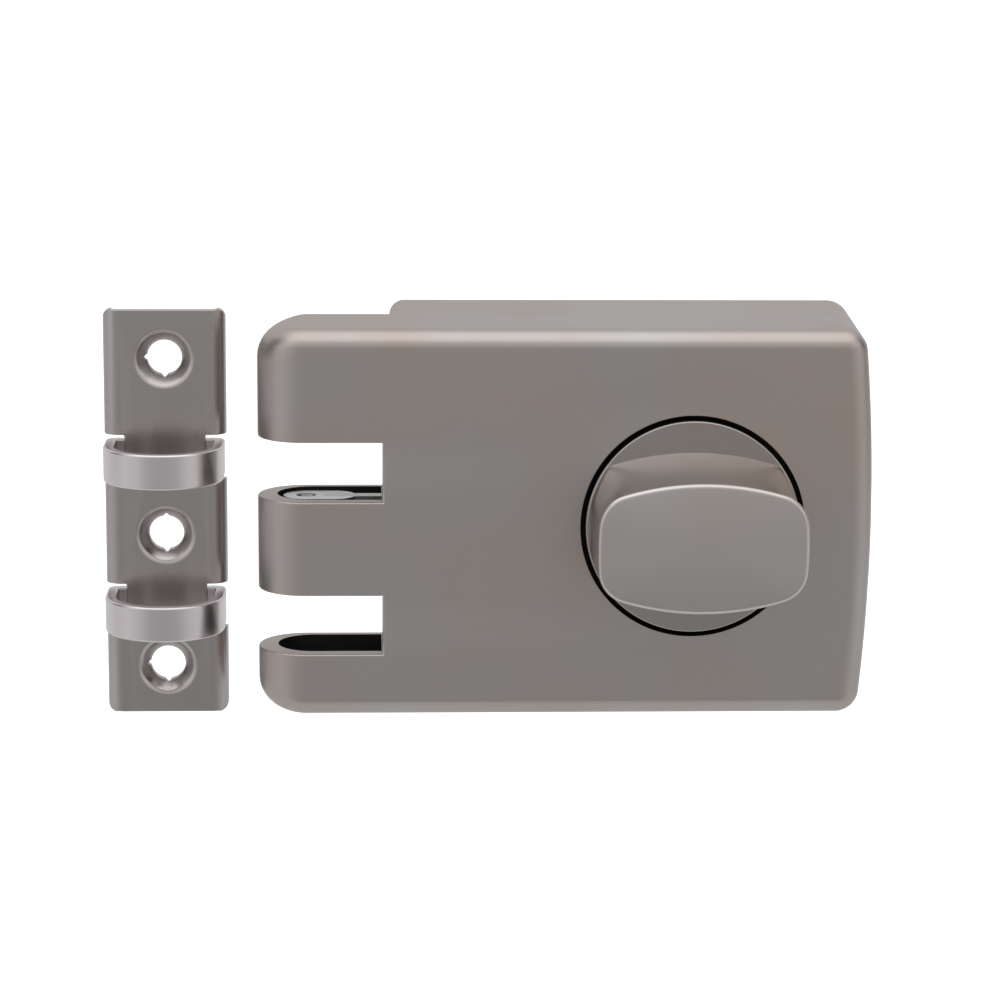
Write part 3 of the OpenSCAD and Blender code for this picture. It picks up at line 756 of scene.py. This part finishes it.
def bend(points, start, turn, radius, steps):
    """Adds a circular bend to a path; start is the heading in degrees, turn its change."""
    x, y = points[-1]
    side = 1 if turn > 0 else -1
    heading = math.radians(start)
    cx, cy = x - side * radius * math.sin(heading), y + side * radius * math.cos(heading)
    for i in range(1, steps + 1):
        a = heading + math.radians(turn) * i / steps
        points.append((cx + side * radius * math.sin(a), cy - side * radius * math.cos(a)))


def loop_path(half, front, foot):
    """Middle line of a loop's strap: foot, leg, half-round front, leg, foot."""
    right = [(FOOT_END, foot), (half - FOOT_BEND, foot)]
    bend(right, 0, -90, FOOT_BEND, 6)
    right += ellipse(0.0, front + half, half, half, 0, -90, 20)
    left = [(-x, y) for x, y in reversed(right[:-1])]
    return right + left


def build_loop(name):
    """Strap with softened edges, swept along its path."""
    low, high = LOOP_BOXES[name]
    half_t, half_h, edge_r = STRAP / 2, (high.z - low.z) / 2, STRAP_EDGE_R
    middle_z = (low.z + high.z) / 2
    path = loop_path((high.x - low.x) / 2 - half_t, low.y + half_t, PLATE_Y + PLATE_SKIN + half_t)
    section = []
    for sx, sz, start in ((1, 1, 0), (-1, 1, 90), (-1, -1, 180), (1, -1, 270)):
        cx, cz = sx * (half_t - edge_r), sz * (half_h - edge_r)
        section += ellipse(cx, cz, edge_r, edge_r, start, start + 90, 4)
    rings = []
    for i, (x, y) in enumerate(path):
        before, after = path[max(i - 1, 0)], path[min(i + 1, len(path) - 1)]
        tangent = Vector((after[0] - before[0], after[1] - before[1])).normalized()
        normal = Vector((-tangent.y, tangent.x))
        ring = []
        for offset, rise in section:
            out = STRIKE_X + x + normal.x * offset
            ring.append((out, y + normal.y * offset, middle_z + rise))
        rings.append(ring)
    loop = new_object(name + "_strap", loft(rings))
    finish_piece(loop, LOOP_NICKEL, "strike", [name], angle=50)


# ------------------------------------------------------- carried-over nodes

def dress(node, material, bevel=0.0):
    """Gives a CAD node its material and, where it shows, small round edges."""
    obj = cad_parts[node]
    obj.data.materials.clear()
    obj.data.materials.append(material)
    if bevel:
        soft = obj.modifiers.new("edges", "BEVEL")
        soft.width = bevel * MM
        soft.segments = 2
        soft.limit_method = "ANGLE"
        soft.angle_limit = math.radians(40)


def dress_nodes():
    """Materials of the CAD nodes that are kept, each with its bevel in millimetres."""
    looks = {
        ZINC: {"mounting_plate": 0.25, "case_screws": 0.0, "mechanism_cover": 0.2, "cam": 0.0,
               "bolt_carriage": 0.0},
        HARD: {"cover_screws": 0.0, "cam_pin": 0.0},
        BRIGHT: {"guide_pins": 0.0, "spring_posts": 0.0, "turn_spindle": 0.0, "crank_pin": 0.0,
                 "upper_bolt": 0.3, "lower_bolt": 0.3, "bolt_rivets": 0.0, "hardened_pins": 0.0},
        SPRING: {"detent_spring": 0.0, "retaining_ring": 0.0},
        BRONZE: {"turn_bush": 0.0, "rear_bush": 0.0},
        BRASS: {"tailpiece_driver": 0.0},
        ACETAL: {"turn_washer": 0.0},
    }
    for material, nodes in looks.items():
        for node, bevel in nodes.items():
            dress(node, material, bevel)


# ----------------------------------------------------------------- the stage

def build_floor():
    """White floor well below the lock, from in front of it to far behind, greyer in reflections."""
    near, far, side, level = -0.5, 9.0, 6.0, -0.35
    bm = bmesh.new()
    corners = ((-side, near), (side, near), (side, far), (-side, far))
    bm.faces.new([bm.verts.new((x, y, level)) for x, y in corners])
    mesh = bpy.data.meshes.new("floor")
    bm.to_mesh(mesh)
    bm.free()
    floor = bpy.data.objects.new("floor", mesh)
    bpy.context.scene.collection.objects.link(floor)
    material = bpy.data.materials.new("lit_floor")
    material.use_nodes = True
    shader = material.node_tree.nodes["Principled BSDF"]
    shader.inputs["Base Color"].default_value = (0.25, 0.25, 0.25, 1.0)
    shader.inputs["Emission Color"].default_value = (1.0, 1.0, 1.0, 1.0)
    n = Nodes(material.node_tree)
    seen = n.add("ShaderNodeLightPath").outputs["Is Camera Ray"]
    glow = n.add("ShaderNodeMapRange", {"Value": seen, "To Min": 0.45, "To Max": 1.0})
    material.node_tree.links.new(glow.outputs["Result"], shader.inputs["Emission Strength"])
    mesh.materials.append(material)


def area_light(name, place, target, size, power):
    """White rectangular light that faces its target."""
    data = bpy.data.lights.new(name, "AREA")
    data.shape = "RECTANGLE"
    data.size, data.size_y = size
    data.energy = power
    light = bpy.data.objects.new(name, data)
    light.location = place
    light.rotation_euler = (Vector(target) - Vector(place)).to_track_quat("-Z", "Y").to_euler()
    bpy.context.scene.collection.objects.link(light)


def build_world():
    """Light tent: grey towards the camera, bright round it, two dark flags; white to look at."""
    world = bpy.data.worlds.new("tent")
    bpy.context.scene.world = world
    world.use_nodes = True
    tree = world.node_tree
    tree.nodes.clear()
    n = Nodes(tree)
    direction = n.add("ShaderNodeTexCoord").outputs["Generated"]
    parts = n.add("ShaderNodeSeparateXYZ", {"Vector": direction})
    depth = n.add("ShaderNodeMapRange", {"Value": parts.outputs["Y"], "From Min": -1.0, "From Max": 1.0})
    tent = n.add("ShaderNodeValToRGB", {"Fac": depth.outputs["Result"]})
    # Grey levels of the tent, from the camera's side (0) to the far side (1)
    stops = ((0.0, 0.56), (0.06, 0.60), (0.18, 0.85), (0.42, 0.86), (0.7, 0.70), (1.0, 0.56))
    ramp = tent.color_ramp
    while len(ramp.elements) < len(stops):
        ramp.elements.new(0.5)
    for element, (place, level) in zip(ramp.elements, stops):
        element.position = place
        element.color = (level, level, level, 1.0)
    # Dark flags, one on each side and a little behind the lock
    aside = n.add("ShaderNodeMath", {0: parts.outputs["X"]}, operation="ABSOLUTE").outputs[0]
    wide = n.add("ShaderNodeMapRange", {"Value": aside, "From Min": 0.62, "From Max": 0.85},
                 interpolation_type="SMOOTHSTEP").outputs["Result"]
    flag_depth = 0.16
    off_axis = n.add("ShaderNodeMath", {0: parts.outputs["Y"], 1: flag_depth},
                     operation="SUBTRACT").outputs[0]
    distance = n.add("ShaderNodeMath", {0: off_axis}, operation="ABSOLUTE").outputs[0]
    band = n.add("ShaderNodeMapRange", {"Value": distance, "From Min": 0.2, "From Max": 0.36,
                                        "To Min": 1.0, "To Max": 0.0},
                 interpolation_type="SMOOTHSTEP").outputs["Result"]
    flag = n.add("ShaderNodeMath", {0: wide, 1: band}, operation="MULTIPLY").outputs[0]
    dim = n.add("ShaderNodeMapRange", {"Value": flag, "To Min": 1.0, "To Max": 0.12}).outputs["Result"]
    # Brighter from above than from below
    height = n.add("ShaderNodeMapRange", {"Value": parts.outputs["Z"], "From Min": -0.45,
                                          "From Max": 0.2, "To Min": 0.45,
                                          "To Max": 1.2}).outputs["Result"]
    level = n.add("ShaderNodeMath", {0: dim, 1: height}, operation="MULTIPLY").outputs[0]
    tinted = n.add("ShaderNodeBackground", {"Color": tent.outputs["Color"], "Strength": level})
    white = n.add("ShaderNodeBackground", {"Color": (1.0, 1.0, 1.0, 1.0), "Strength": 1.05})
    seen = n.add("ShaderNodeLightPath").outputs["Is Camera Ray"]
    both = n.add("ShaderNodeMixShader", {"Fac": seen, 1: tinted.outputs["Background"],
                                         2: white.outputs["Background"]})
    n.add("ShaderNodeOutputWorld", {"Surface": both.outputs["Shader"]})


def build_camera():
    """Long lens, slightly above and to the left of the lock."""
    data = bpy.data.cameras.new("camera")
    data.sensor_width = 36.0
    data.lens = 115.9
    data.clip_start = 0.01
    camera = bpy.data.objects.new("camera", data)
    camera.location = (-0.0642, -0.6497, 0.1270)
    pitch, yaw, roll = math.radians(90 - 11.2), math.radians(-2.47), math.radians(0.41)
    turn = Euler((0, 0, yaw)).to_matrix() @ Euler((pitch, 0, 0)).to_matrix()
    turn = turn @ Euler((0, 0, roll)).to_matrix()
    camera.rotation_euler = turn.to_euler()
    bpy.context.scene.collection.objects.link(camera)
    bpy.context.scene.camera = camera


def build_stage():
    """Display transform, tent, floor and one soft light from above."""
    bpy.context.scene.view_settings.view_transform = "Standard"
    build_world()
    build_floor()
    area_light("overhead", (-0.1, -0.3, 1.1), (0, 0, 0), (1.8, 1.4), 4.0)


build_camera()
build_case()
build_turn()
build_strike_plate()
build_loop("upper_loop")
build_loop("lower_loop")
dress_nodes()
build_stage()
